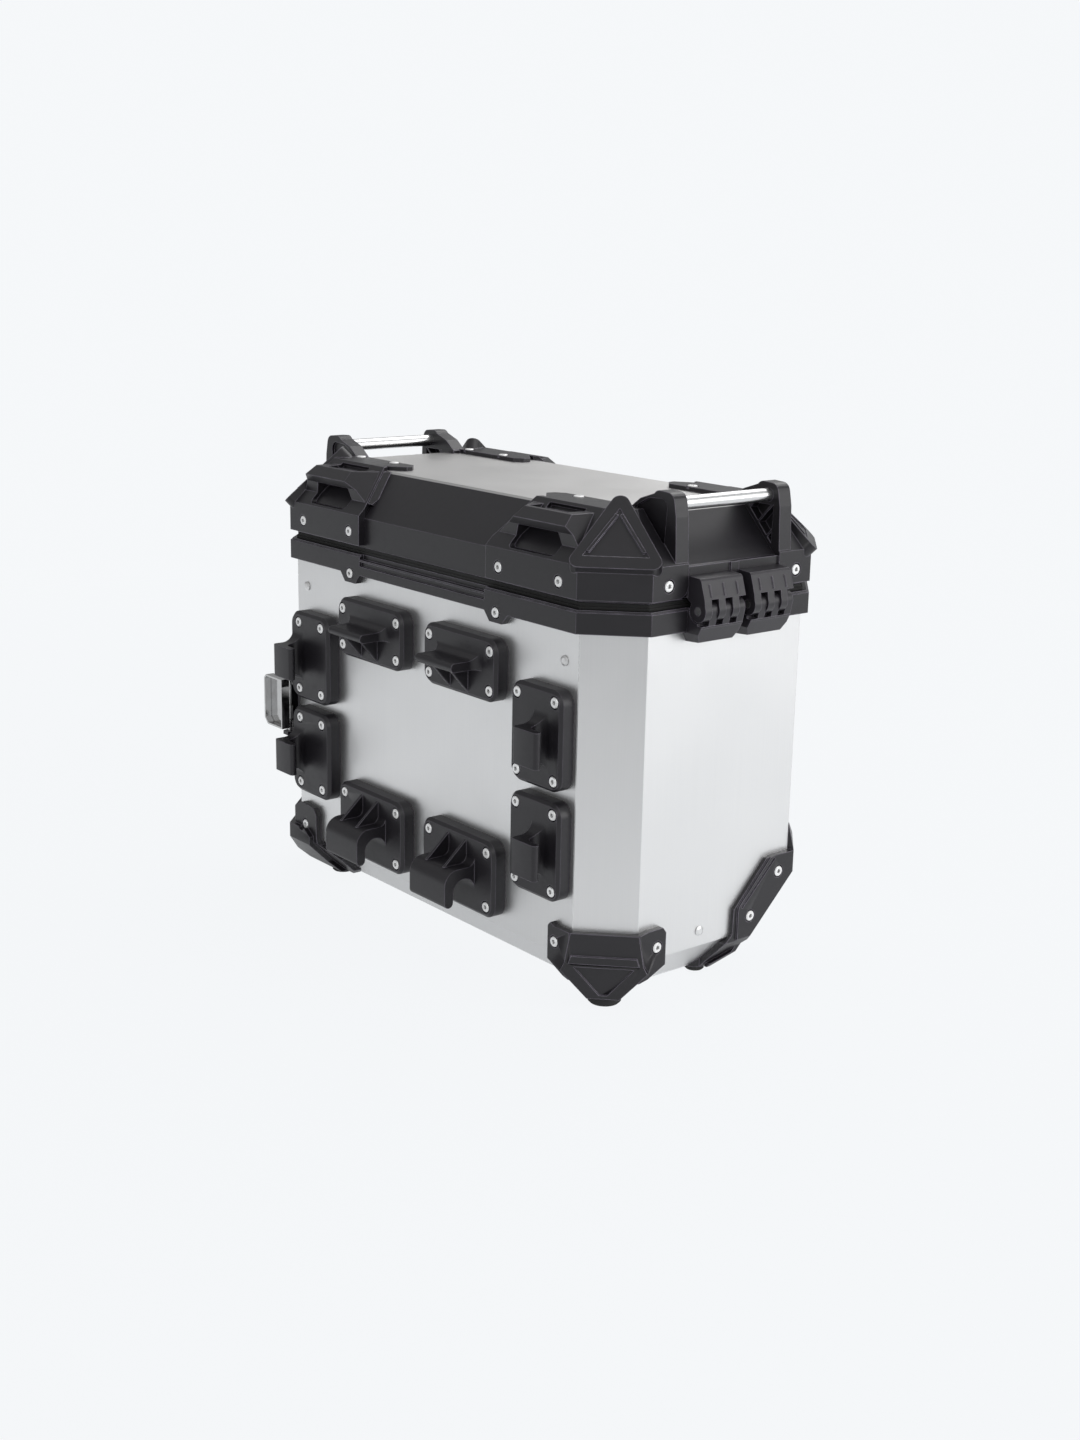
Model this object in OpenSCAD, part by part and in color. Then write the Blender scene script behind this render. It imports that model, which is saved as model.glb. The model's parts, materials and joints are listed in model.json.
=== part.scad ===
// Aluminium motorcycle side case with a moulded lid, corner caps, carry bars and rack hooks.
// X runs along the case, Y from the rack side (-Y) to the road side (+Y), Z is up.
// The origin is on the ground, at the centre of the whole footprint.
// Modules work in a frame whose y = 0 is the rack-side face; place() moves it to the origin.

/* [Body] */
// Length of the aluminium box
body_len = 440; // [430:2:450]
// Depth of the aluminium box, from the rack face to the road face
body_dep = 220; // [215:1:226]
// Length cut from each side at the four upright corners
corner_cut = 34; // [30:1:36]
// Thickness of the aluminium sheet
sheet_t = 1.5; // [1.2:0.1:2]
// Height of the 45 degree bevel around the floor
bevel = 31; // [29:1:33]
// Height of the sloped cut on the road side, for cornering clearance
road_cut = 104; // [96:2:108]
// Height of the feet under the floor
foot_h = 4; // [4:0.5:6]
// Height of the upright faces, from the bevel to the sheet's top edge
wall_h = 252; // [250:1:256]

/* [Collar and lid] */
// How far the black mouldings stand proud of the sheet
skin = 5.5; // [5:0.5:6]
// Height of the collar's visible band
collar_h = 17; // [16:0.5:18]
// Height of the lid's upright band
lid_band = 24; // [23:0.5:25]
// Rise of the lid's slopes above the band
lid_rise = 34; // [33:0.5:35]
// Wall thickness of the lid moulding
lid_wall = 2.5; // [2:0.25:3]

/* [Carry bars] */
// Diameter of the aluminium carry bars
bar_d = 10; // [9:0.5:11]
// Clear length of a bar between its two posts
bar_gap = 90; // [88:1:92]
// Thickness of a post
post_t = 12; // [11:0.5:13]

/* [Rack hooks] */
// Thickness of the hook plates
plate_t = 12; // [11:0.5:13]
// Radius of the saddle in the lower hooks
saddle_r = 10; // [9.5:0.25:10]
// Radius of the channel in the side hooks
channel_r = 7; // [6.5:0.25:7]

/* [Fasteners] */
// Shank diameter of the button-head screws
screw_d = 5; // [4.5:0.5:5]
// Head diameter of the button-head screws
head_d = 8; // [8:0.5:9]

/* [Hidden] */
$fn = 48;
eps = 0.01;
s2 = sqrt(2);
grow45 = s2 - 1;

// Colours
c_black = [0.13, 0.13, 0.14];
c_alu = [0.80, 0.80, 0.82];
c_top = [0.66, 0.65, 0.64];
c_steel = [0.86, 0.86, 0.88];
c_rubber = [0.07, 0.07, 0.07];

// Main levels and distances
half_len = body_len / 2;
mid_y = body_dep / 2;
side_z = foot_h + bevel;
body_top = side_z + wall_h;
collar_top = body_top + 9;
collar_low = collar_top - collar_h;
lid_low = collar_top + 5;
cap_low = lid_low + 2;
fold_z = lid_low + lid_band;
lid_top = fold_z + lid_rise;
plate_sheet = 1.5;
tab_top = lid_top + 3.5;
road_z = foot_h + road_cut;
seal_gap = 0.3;
hole_r = screw_d / 2 + 0.1;
hook_reach = 28;
corner_c = [half_len - corner_cut / 2, corner_cut / 2];
face_half = half_len - corner_cut;

// Raised triangle on a corner's slope: corner points and rounding, and how far it stands off the slope
tri_base = 25.5;
tri_low = -1;
tri_apex = -50.5;
tri_round = 6.5;
tri_face = 8.3;
tri_out = [[tri_low, -tri_base], [tri_low, tri_base], [tri_apex, 0]];
tri_in = [[-4.5, -23], [-4.5, 23], [-45.5, 0]];
tri_reach = tri_base / s2 + (tri_low + tri_face) / 2 + tri_round * sqrt(0.75) - corner_c[1];
rack_y = (plate_t + hook_reach - body_dep - tri_reach) / 2;

// Carry bars and posts
post_in = mid_y - bar_gap / 2;
post_out = post_in - post_t;
bar_x = half_len - 9;
bar_z = lid_top + 8.5;
bar_seat = 8;
post_top = bar_z + 9;

// Lid hinge line, outside the collar at the +X end
hinge_x = half_len + 15.2;
hinge_z = collar_top - 1;
knuckle_r = 8;
hinge_w = 40;
hinge_off = 4.25;
knuckle_n = 6;
knuckle_gap = 0.3;
pin_r = 2;

// Hook plates: centre x, centre z, width, height, screw spacing in x and z
upper_x = 60.5;
lower_x = 60.2;
side_hinge_x = 153.4;
side_latch_x = -151;
upper_zc = side_z + 201;
lower_zc = side_z + 38.5;
side_high_z = side_z + 164;
side_low_z = side_z + 81;
upper_size = [92, 48];
lower_size = [93, 61];
side_size = [58, 75];
upper_pitch = [76.2, 29.8];
lower_pitch = [74.6, 43.1];
side_hinge_pitch = [42.6, 58];
side_latch_pitch = [34, 57];
plate_r = 11;
shelf_w = 46;
side_hinge_channel = 15.6;
side_latch_channel = -8.3;

// Every hook screw as [x, z]
function four(cx, cz, p) = [for (sx = [-1, 1], sz = [-1, 1]) [cx + sx * p[0] / 2, cz + sz * p[1] / 2]];
hook_points = concat(
    four(-upper_x, upper_zc, upper_pitch), four(upper_x, upper_zc, upper_pitch),
    four(-lower_x, lower_zc, lower_pitch), four(lower_x, lower_zc, lower_pitch),
    four(side_latch_x + 1, side_high_z, side_latch_pitch), four(side_latch_x + 1, side_low_z,
        side_latch_pitch),
    four(side_hinge_x, side_high_z, side_hinge_pitch), four(side_hinge_x, side_low_z, side_hinge_pitch)
);

// Small screws: along the long sides, and on the ends
cap_screw_x = [99, 168];
cap_screw_z = lid_low + 12;
cap_end_y = 47;
top_screw_x = [119, 168];
top_screw_y = 53;
tab_screw_x = 97;
tab_screw_z = collar_low;
vee_screw_x = 171.5;
vee_screw_y = 48.4;
vee_screw_z = side_z + 11;
road_screws = [[143.5, side_z + 14.5], [172, side_z + 44.5]];
rivet_x = 171;
rivet_z = side_z + 221.5;
rivet_end = [95, side_z + 12];

// Lid latch at the -X end
latch_p = [-half_len - 14, collar_top - 8];
bail_p = [latch_p[0] - 4, latch_p[1] - 8];
latch_face = -hinge_x - knuckle_r;
lever_face = latch_face + 0.8;
latch_half = 29;
lever_half = 18;
bail_half = 22;
bail_top = fold_z - 8;

// Rack lock on the rack-side corner at the -X end
lock_z = [side_z + 94, side_z + 139];
lock_pin = [-193.5, -6];

/* ---------- helpers ---------- */

module place() { translate([0, rack_y, 0]) children(); }

// Mirror a corner piece to the -X end or the road side
module at_corner(latch_end, road_side) {
    translate([0, road_side ? mid_y : 0, 0])
        mirror([0, road_side ? 1 : 0, 0])
            translate([0, road_side ? -mid_y : 0, 0])
                mirror([latch_end ? 1 : 0, 0, 0]) children();
}

// Extrude an outline in (x, z) along Y
module prism_y(points, y0, y1) {
    translate([0, y1, 0]) rotate([90, 0, 0]) linear_extrude(y1 - y0) polygon(points);
}

// Extrude an outline in (y, z) along X
module prism_x(points, x0, x1) {
    translate([x0, 0, 0]) rotate([90, 0, 90]) linear_extrude(x1 - x0) polygon(points);
}

// Box from its lowest to its highest corner
module block(lo, hi) { translate(lo) cube(hi - lo); }

// Round bar from point p along a row axis
module bar_along_y(x, z, r, y0, y1) { translate([x, y1, z]) rotate([90, 0, 0]) cylinder(h = y1 - y0, r = r); }
module bar_along_x(y, z, r, x0, x1) { translate([x0, y, z]) rotate([0, 90, 0]) cylinder(h = x1 - x0, r = r); }

// Points of an arc, centre c, from angle a0 to a1
function arc(c, r, a0, a1, n = 8) = [for (i = [0 : n]) let (a = a0 + (a1 - a0) * i / n) c + r * [cos(a),
    sin(a)]];

// Octagonal plan of the case, grown all round by g
function octagon(g) = let (
    x = half_len + g, y0 = -g, y1 = body_dep + g, c = corner_cut + g * (2 - s2))
    [[x - c, y0], [x, y0 + c], [x, y1 - c], [x - c, y1], [c - x, y1], [-x, y1 - c], [-x, y0 + c], [c - x,
        y0]];

module ring_prism(g_out, g_in, z0, z1) {
    translate([0, 0, z0]) linear_extrude(z1 - z0) difference() {
        polygon(octagon(g_out));
        polygon(octagon(g_in));
    }
}

// The aluminium box as a closed form, grown by g and cut flat at z1
module box_form(g, z1) {
    x = half_len + g;
    bot = foot_h - g;
    knee = side_z - grow45 * g;
    foot_in = bevel - grow45 * g;
    intersection() {
        translate([0, 0, bot]) linear_extrude(z1 - bot) polygon(octagon(g));
        prism_y([
            [foot_in + g - x, bot], [x - g - foot_in, bot], [x, knee], [x, z1], [-x, z1], [-x, knee]
        ], -20, body_dep + 20);
        prism_x([
            [foot_in, bot], [body_dep - road_cut + grow45 * g, bot], [body_dep + g, road_z - grow45 * g],
            [body_dep + g, z1], [-g, z1], [-g, knee]
        ], -half_len - 20, half_len + 20);
    }
}

// Outline of a hipped section: half width w, from z0 up to fold, then 45 degrees in up to top
function hip(w, z0, fold, top) = [[-w, z0], [w, z0], [w, fold], [w - (top - fold), top], [top - fold - w,
    top], [-w, fold]];

// The lid as a closed form, grown by g, between z0 and top
module lid_form(g, z0, top) {
    fold = fold_z + grow45 * g;
    diag = (half_len + mid_y - corner_cut) / s2 + g;
    reach = 400;
    intersection() {
        translate([0, 0, z0]) linear_extrude(top - z0) polygon(octagon(g));
        prism_y(hip(half_len + g, z0, fold, top), -reach, reach);
        translate([0, mid_y, 0]) prism_x(hip(mid_y + g, z0, fold, top), -reach, reach);
        translate([0, mid_y, 0]) rotate([0, 0, 45]) prism_y(hip(diag, z0, fold, top), -reach, reach);
        translate([0, mid_y, 0]) rotate([0, 0, -45]) prism_y(hip(diag, z0, fold, top), -reach, reach);
    }
}

// Plate with rounded corners and a chamfered front edge, from z = 0 to t
module soft_plate(w, h, r, t, c) {
    x = w / 2 - r;
    y = h / 2 - r;
    for (sx = [-1, 1], sy = [-1, 1]) translate([sx * x, sy * y, 0]) {
        cylinder(h = t - c, r = r);
        translate([0, 0, t - c]) cylinder(h = c, r1 = r, r2 = r - c);
    }
    prism_y(rim(w / 2, t, c), -y, y);
    rotate([0, 0, 90]) prism_y(rim(h / 2, t, c), -x, x);
}
function rim(w, t, c) = [[-w, 0], [w, 0], [w, t - c], [w - c, t], [c - w, t], [-w, t - c]];

// Polygon with every corner rounded outward by r (points run anticlockwise)
function edge_normal(a, b) = let (d = b - a) [d[1], -d[0]] / norm(d);
module rounded_polygon(points, r) {
    n = len(points);
    polygon([for (i = [0 : n - 1]) let (p = points[i])
        each [p + r * edge_normal(points[(i + n - 1) % n], p), p + r * edge_normal(p, points[(i + 1) % n])]]);
    for (p = points) translate(p) circle(r);
}

// Button-head screw: axis along +Z, seat at z = 0, shank below
module button_screw(shank, head_h = 3) {
    difference() {
        union() {
            cylinder(h = head_h - 0.6, r = head_d / 2);
            translate([0, 0, head_h - 0.6]) cylinder(h = 0.6, r1 = head_d / 2, r2 = head_d / 2 - 0.6);
        }
        translate([0, 0, head_h - 1.8]) cylinder(h = 2, r = 1.8, $fn = 6);
    }
    translate([0, 0, -shank]) cylinder(h = shank, r = screw_d / 2);
}

// Screw hole with a flat counterbore: axis along +Z, seat at z = 0
module screw_hole(depth) {
    translate([0, 0, -depth]) cylinder(h = depth + eps, r = hole_r);
    cylinder(h = 12, r = head_d / 2 + 0.9);
}

// Turn +Z to the rack side (-Y), the road side (+Y), the +X end or the -X end
module to_rack() { rotate([90, 0, 0]) children(); }
module to_plus_x() { rotate([0, 90, 0]) children(); }

/* ---------- aluminium box ---------- */

module box_shell() {
    difference() {
        box_form(0, body_top);
        box_form(-sheet_t, body_top + 5);
    }
}

module floor_tray() {
    color(c_alu) place() intersection() {
        box_shell();
        block([-300, -10, 0], [300, 300, foot_h + sheet_t]);
    }
}

module rack_zone() { block([-face_half, -10, foot_h + sheet_t], [face_half, bevel + 8, body_top + 5]); }

module rack_panel() {
    color(c_alu) place() difference() {
        intersection() {
            box_shell();
            rack_zone();
        }
        for (p = hook_points) translate([p[0], 5, p[1]]) to_rack() cylinder(h = 10, r = hole_r);
        for (s = [-1, 1]) translate([s * rivet_x, 5, rivet_z]) to_rack() cylinder(h = 10, r = hole_r);
        for (s = [-1, 1]) translate([s * tab_screw_x, 5, tab_screw_z]) to_rack() cylinder(h = 10, r = hole_r);
        for (s = [-1, 1]) translate([s * vee_screw_x, 5, vee_screw_z]) to_rack() cylinder(h = 10, r = hole_r);
    }
}

module wrap_sheet() {
    color(c_alu) place() difference() {
        box_shell();
        rack_zone();
        block([-300, -10, 0], [300, 300, foot_h + sheet_t]);
        for (s = [-1, 1]) {
            translate([s * tab_screw_x, body_dep + 5, tab_screw_z]) to_rack() cylinder(h = 10, r = hole_r);
            translate([s * half_len - 5, vee_screw_y, vee_screw_z]) to_plus_x() cylinder(h = 10, r = hole_r);
            translate([s * half_len - 5, rivet_end[0], rivet_end[1]]) to_plus_x() cylinder(h = 10,
                r = hole_r);
            for (q = road_screws) translate([s * half_len - 5, q[0], q[1]]) to_plus_x() cylinder(h = 10,
                r = hole_r);
        }
    }
}

// Flat inner strips that spread the hook screws' load
module backing_strips() {
    color(c_alu) place() difference() {
        for (z = [upper_zc, lower_zc])
            block([-upper_x - 44, sheet_t, z - 25], [upper_x + 44, sheet_t + 2, z + 25]);
        for (p = hook_points) translate([p[0], 6, p[1]]) to_rack() cylinder(h = 10, r = hole_r);
    }
    color(c_alu) place() difference() {
        for (x = [side_latch_x + 1, side_hinge_x])
            block([x - 26, sheet_t, side_low_z - 36], [x + 26, sheet_t + 2, side_high_z + 36]);
        for (p = hook_points) translate([p[0], 6, p[1]]) to_rack() cylinder(h = 10, r = hole_r);
    }
}

/* ---------- collar, seal, lid ---------- */

module collar_tab(side) {
    // Drop tab under the collar, on the rack (0) or the road (1) face
    y0 = side == 0 ? -skin : body_dep;
    for (s = [-1, 1]) translate([s * tab_screw_x, 0, 0]) prism_y([
        [-14, collar_low + eps], [-7.5, collar_low - 7.5], [7.5, collar_low - 7.5], [14, collar_low + eps]
    ], y0, y0 + skin);
}

module collar() {
    lip = sheet_t + 7;
    groove_half = 83;
    color(c_black) place() difference() {
        union() {
            ring_prism(skin, 0, collar_low, body_top);
            ring_prism(skin, -lip, body_top, collar_top - 1.5);
            ring_prism(skin - 1.5, -lip, collar_top - 1.5, collar_top);
            ring_prism(-sheet_t, -sheet_t - 3, body_top - 16, body_top);
            collar_tab(0);
            collar_tab(1);
        }
        // Stepped grooves along the middle of both long sides
        for (y = [-skin, body_dep + skin]) {
            block([-groove_half, y - 4, collar_top - 4], [groove_half, y + 4, collar_top + 1]);
            block([-groove_half, y - 2.2, collar_top - 9.5], [groove_half, y + 2.2, collar_top - 5.6]);
        }
        for (s = [-1, 1]) {
            translate([s * tab_screw_x, -skin + 2, tab_screw_z]) to_rack() screw_hole(14);
            translate([s * tab_screw_x, body_dep + skin - 2, tab_screw_z]) rotate([-90, 0, 0]) screw_hole(14);
        }
        // Seats of the hinge leaves
        for (y = [hinge_y(0), hinge_y(1)])
            block([half_len + skin - 1.5, y - knuckle_gap, collar_low - 1], [half_len + 20,
                y + hinge_w + knuckle_gap,
                collar_top + 1]);
        // Seat of the lid latch
        block([-half_len - 20, mid_y - latch_half - 1, collar_low - 1], [-half_len - skin + 1.5,
            mid_y + latch_half + 1, collar_top + 1]);
        // Groove that holds the seal's foot
        ring_prism(-1, -4, collar_top - 2, collar_top + 1);
    }
}

module collar_seal() {
    color(c_rubber) place() {
        ring_prism(-1, -4, collar_top - 2, collar_top);
        ring_prism(0.5, -5.5, collar_top, collar_top + 2);
        ring_prism(-0.5, -2, collar_top + 2, lid_low - seal_gap);
        ring_prism(-3.5, -5, collar_top + 2, lid_low - seal_gap);
    }
}

module lid_shell() {
    color(c_black) place() difference() {
        union() {
            lid_form(0, lid_low, lid_top - plate_sheet);
            // Raised bands between the posts, where the hinge and the keeper are fastened
            for (s = [-1, 1]) mirror([s < 0 ? 1 : 0, 0, 0])
                block([half_len - 1, post_in + 0.3, cap_low], [half_len + skin, body_dep - post_in - 0.3,
                    fold_z]);
        }
        lid_form(-lid_wall, lid_low - 5, lid_top - plate_sheet - lid_wall);
        lid_screws() cylinder(h = 14, r = hole_r);
        cap_top_points() translate([0, 0, -10]) cylinder(h = 20, r = hole_r);
        // Slot for the seat of each upper hinge leaf
        for (y = [hinge_y(0), hinge_y(1)])
            block([half_len + skin - 1.5, y - knuckle_gap, cap_low - 1], [half_len + 20,
                y + hinge_w + knuckle_gap,
                fold_z + 5]);
    }
}

module lid_top_plate() {
    color(c_top) place() difference() {
        intersection() {
            lid_form(0, lid_low, lid_top);
            block([-300, -10, lid_top - plate_sheet], [300, 300, lid_top + 1]);
        }
        cap_top_points() translate([0, 0, -10]) cylinder(h = 20, r = hole_r);
    }
}

// Put a child at every side screw of the corner caps, +Z pointing inward
module lid_screws() {
    for (sx = [-1, 1]) {
        for (x = cap_screw_x) {
            translate([sx * x, -skin, cap_screw_z]) rotate([-90, 0, 0]) children();
            translate([sx * x, body_dep + skin, cap_screw_z]) rotate([90, 0, 0]) children();
        }
        for (y = [cap_end_y, body_dep - cap_end_y])
            translate([sx * (half_len + skin), y, cap_screw_z]) rotate([0, -sx * 90, 0]) children();
    }
}

// Put a child at every top screw of the corner caps, +Z up
module cap_top_points() {
    for (sx = [-1, 1], x = top_screw_x, y = [top_screw_y, body_dep - top_screw_y])
        translate([sx * x, y, tab_top]) children();
}

/* ---------- corner caps ---------- */

// Frame on a corner's slope: +X down the slope, +Y along the corner, +Z out of the slope
module on_slope() {
    translate([corner_c[0], corner_c[1], fold_z]) rotate([0, 0, -45]) rotate([0, 45, 0]) children();
}

// Where the cap lies in plan, for the +X rack corner
cap_plan = [
    [84, -20], [84, 0.5], [101, lid_rise], [107, lid_rise], [90, 46], [91, 52], [98, 58],
    [176, 58], [176, post_in], [half_len + 20, post_in], [half_len + 20, -20]
];

// Side view of a post as [x, z]
post_side = concat(
    [[half_len + skin - 0.2, cap_low + 6], [half_len + 3.2, lid_top + 1]],
    arc([bar_x + 3.2, post_top - 7], 7, 10, 90, 5),
    arc([bar_x - 5, post_top - 7], 7.5, 95, 140, 4),
    [[half_len - 34, post_top - 7], [half_len - 45, tab_top - 1], [half_len - 45, lid_top - 10],
        [half_len - 15, cap_low + 6]]
);

// Opening under the bridge as [x, z]
bridge_opening = concat(
    arc([112, fold_z + 7.8], 4, 180, 270, 4), arc([156, fold_z + 7.8], 4, 270, 360, 4),
    [[160, fold_z + 12], [157, fold_z + 21], [157, fold_z + 40], [112, fold_z + 40], [112, fold_z + 21],
        [108, fold_z + 12]]
);

// Strap bridge: a beam held off the slope by a leg at each end, between two sloped flanks
module cap_bridge() {
    intersection() {
        union() {
            prism_x([[-1.4, fold_z + 26.5], [2.8, fold_z + 20.5], [9, fold_z + 22.5], [14.5, fold_z + 29.5],
                [11, fold_z + 33.7], [7.2, fold_z + 33.7]], 84, 184);
            difference() {
                prism_x([[-1.4, fold_z + 26.5], [2.8, fold_z + 20.5], [4, fold_z + 12], [12, fold_z + 8],
                    [40, fold_z + 8], [40, fold_z + 33.7], [7.2, fold_z + 33.7]], 84, 184);
                prism_y(bridge_opening, -10, 60);
            }
        }
        translate([113.6, 7.2, fold_z + 33.7]) rotate([0, 45.5, 36.1]) block([0, -60, -60], [120, 60, 60]);
        translate([166.3, 7.2, fold_z + 33.7]) rotate([0, -30, -5.7]) block([-120, -60, -60], [0, 60, 60]);
    }
}

module corner_cap() {
    difference() {
        union() {
            // Skin over the band, the slopes and the edge of the top
            intersection() {
                lid_form(skin, cap_low, tab_top);
                translate([0, 0, cap_low]) linear_extrude(100) polygon(cap_plan);
            }
            cap_bridge();
            // Post for the carry bar
            prism_y(post_side, post_out, post_in);
            // Raised triangle
            intersection() {
                on_slope() translate([0, 0, -12]) linear_extrude(tri_face + 12) rounded_polygon(tri_out,
                    tri_round);
                block([100, -40, fold_z - 8], [half_len + 30, 90, post_top + 20]);
            }
        }
        // Room for the lid and its top plate
        lid_form(0, lid_low - 5, lid_top);
        // Recess under the bridge, and the slot above it
        intersection() {
            prism_x([[-8, fold_z + 3.8], [1, fold_z + 3.8], [21, fold_z + 23.8], [15, fold_z + 23.8],
                [3, fold_z + 12], [-8, fold_z + 12]], 100, 170);
            prism_y(bridge_opening, -10, 60);
        }
        prism_x([[21.5, fold_z + 33.7], [26.2, fold_z + 29], [30, fold_z + 32.8], [25.3, fold_z + 37.5]],
            117, 158);
        // Recess of the corner panel
        on_slope() translate([0, 0, tri_face - 1.6]) linear_extrude(5) polygon(tri_in);
        // Ribbed pocket in the post's inner face
        difference() {
            prism_y([[192, lid_top - 1], [half_len - 4, fold_z + 8], [half_len - 3, lid_top + 1.5], [194,
                lid_top + 1.5]],
                post_in - 7, post_in + 1);
            for (k = [0 : 2]) translate([191 + 10 * k, 0, lid_top - 4 - 9 * k]) rotate([0, 45, 0])
                block([-0.8, post_in - 8, -12], [0.8, post_in, 30]);
        }
        // Shallow recess in the post's outer face
        prism_y(concat([[half_len - 40, lid_top + 4], [half_len - 9, fold_z + 2]],
            arc([half_len - 13, post_top - 12], 7, 10, 90, 5), [[half_len - 26, post_top - 6]]),
            post_out - 1, post_out + 2.5);
        // Rounded lower corner beside the post
        translate([half_len - 1, post_in - 9, cap_low + 9]) rotate([90, 0,
            90]) linear_extrude(20) difference() {
            translate([0, -10]) square([10, 10]);
            circle(9);
        }
        // Seat of the carry bar
        bar_along_y(bar_x, bar_z, bar_d / 2 + 0.05, post_in - bar_seat, post_in + 1);
        // Screw holes
        for (x = cap_screw_x) translate([x, 2.3 - skin, cap_screw_z]) to_rack() screw_hole(14);
        translate([half_len + skin - 2.3, cap_end_y, cap_screw_z]) to_plus_x() screw_hole(14);
        for (x = top_screw_x) translate([x, top_screw_y, tab_top - 1.8]) screw_hole(10);
    }
}

module cap_rack_hinge() { color(c_black) place() at_corner(false, false) corner_cap(); }
module cap_road_hinge() { color(c_black) place() at_corner(false, true) corner_cap(); }
module cap_rack_latch() { color(c_black) place() at_corner(true, false) corner_cap(); }
module cap_road_latch() { color(c_black) place() at_corner(true, true) corner_cap(); }

// Triangular insert with two raised ribs, one in each corner cap
module corner_panel() {
    on_slope() translate([0, 0, tri_face - 1.6]) {
        linear_extrude(0.9) polygon(tri_in * 0.985 + [for (p = tri_in) [-0.3, 0]]);
        for (s = [-1, 1]) {
            a = [-8, s * 19.6];
            b = [-40, s * 1.6];
            d = b - a;
            translate([a[0], a[1], 0]) rotate([0, 0, atan2(d[1], d[0])])
                translate([0, -1.2, 0]) cube([norm(d), 2.4, 2.4]);
        }
    }
}

module corner_panels() {
    color(c_black) place() for (latch_end = [false, true], road_side = [false, true])
        at_corner(latch_end, road_side) corner_panel();
}

module carry_bar(x) {
    difference() {
        bar_along_y(x, bar_z, bar_d / 2, post_in - bar_seat, body_dep - post_in + bar_seat);
        bar_along_y(x, bar_z, bar_d / 2 - 1.5, post_in - bar_seat - 1, body_dep - post_in + bar_seat + 1);
    }
}

module carry_bar_hinge_end() { color(c_steel) place() carry_bar(bar_x); }
module carry_bar_latch_end() { color(c_steel) place() carry_bar(-bar_x); }

/* ---------- lid hinges ---------- */

function hinge_y(k) = k == 0 ? mid_y - hinge_off - hinge_w : mid_y + hinge_off;
knuckle_w = hinge_w / knuckle_n;

// Slots of one hinge for the knuckles of the other leaf; first is 0 or 1
module knuckle_slots(y, first, r) {
    for (i = [first : 2 : knuckle_n - 1])
        bar_along_y(hinge_x, hinge_z, r, y + i * knuckle_w - (i == 0 ? 1 : knuckle_gap / 2),
            y + (i + 1) * knuckle_w + (i == knuckle_n - 1 ? 1 : knuckle_gap / 2));
}

module knuckles(y, first, r) {
    for (i = [first : 2 : knuckle_n - 1])
        bar_along_y(hinge_x, hinge_z, r, y + i * knuckle_w + (i == 0 ? 0 : knuckle_gap / 2),
            y + (i + 1) * knuckle_w - (i == knuckle_n - 1 ? 0 : knuckle_gap / 2));
}

module hinge_lower(y) {
    face = half_len + skin - 1.5;
    low = collar_low - 8;
    difference() {
        union() {
            prism_y([[half_len, low], [half_len + 13.5, low + 1], [hinge_x + 4.6, hinge_z - 10.4],
                [hinge_x - 3, hinge_z - 10.4], [face, hinge_z - 3], [face, collar_low - 1], [half_len,
                    collar_low - 1]],
                y, y + hinge_w);
            knuckles(y, 1, knuckle_r - 1.5);
            // Necks that join the knuckles to the leaf
            prism_y([[face, hinge_z - 12], [hinge_x + 4, hinge_z - 12], [hinge_x + 6.3, hinge_z - 1.5],
                [hinge_x, hinge_z], [face, hinge_z + 1]], y, y + hinge_w);
        }
        knuckle_slots(y, 0, knuckle_r + 0.8);
        for (i = [0 : 2 : knuckle_n - 1])
            block([hinge_x, y + i * knuckle_w - (i == 0 ? 1 : knuckle_gap / 2), hinge_z - 10.4],
                [hinge_x + 15, y + (i + 1) * knuckle_w + knuckle_gap / 2, hinge_z + 3]);
        bar_along_y(hinge_x, hinge_z, pin_r + 0.05, y - 1, y + hinge_w + 1);
        // Wedge cuts that shape the lower corners
        for (s = [0, 1]) translate([0, y + s * hinge_w, 0]) mirror([0, s, 0])
            prism_x([[-1, low - 1], [4.5, low - 1], [-1, low + 9]], half_len - 1, half_len + 40);
    }
}

module hinge_upper(y) {
    face = half_len + skin - 1.5;
    top = cap_low + 15;
    difference() {
        union() {
            prism_y([[face, cap_low - 0.5], [hinge_x - 6, hinge_z + 4], [hinge_x + knuckle_r - 0.4,
                hinge_z + 1],
                [half_len + 21.8, hinge_z + 8], [half_len + 17.5, top - 1.5], [half_len + 16, top], [face,
                    top + 1]],
                y, y + hinge_w);
            knuckles(y, 0, knuckle_r);
        }
        knuckle_slots(y, 1, knuckle_r + 0.8);
        bar_along_y(hinge_x, hinge_z, pin_r + 0.05, y - 1, y + hinge_w + 1);
        // Notches in the front face for the lower leaf's knuckles
        for (i = [1 : 2 : knuckle_n - 1])
            block([hinge_x - 4, y + i * knuckle_w - knuckle_gap / 2, hinge_z - 12],
                [hinge_x + 15, y + (i + 1) * knuckle_w + (i == knuckle_n - 1 ? 1 : knuckle_gap / 2),
                    hinge_z + 8.6]);
        // Countersink for the pin's head
        bar_along_y(hinge_x, hinge_z, pin_r + 1.1, y - 1, y + 1.2);
    }
    // Three raised lines on the front face
    for (i = [0 : 2]) translate([half_len + 19.9, y + 7 + i * 13, hinge_z + 14]) rotate([0, -17.6, 0])
        block([-1.5, -0.6, -4], [0.7, 0.6, 5]);
}

module hinge_pin(y) {
    bar_along_y(hinge_x, hinge_z, pin_r, y + 1.2, y + hinge_w - 0.5);
    bar_along_y(hinge_x, hinge_z, pin_r + 1, y + 0.2, y + 1.2);
}

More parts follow.
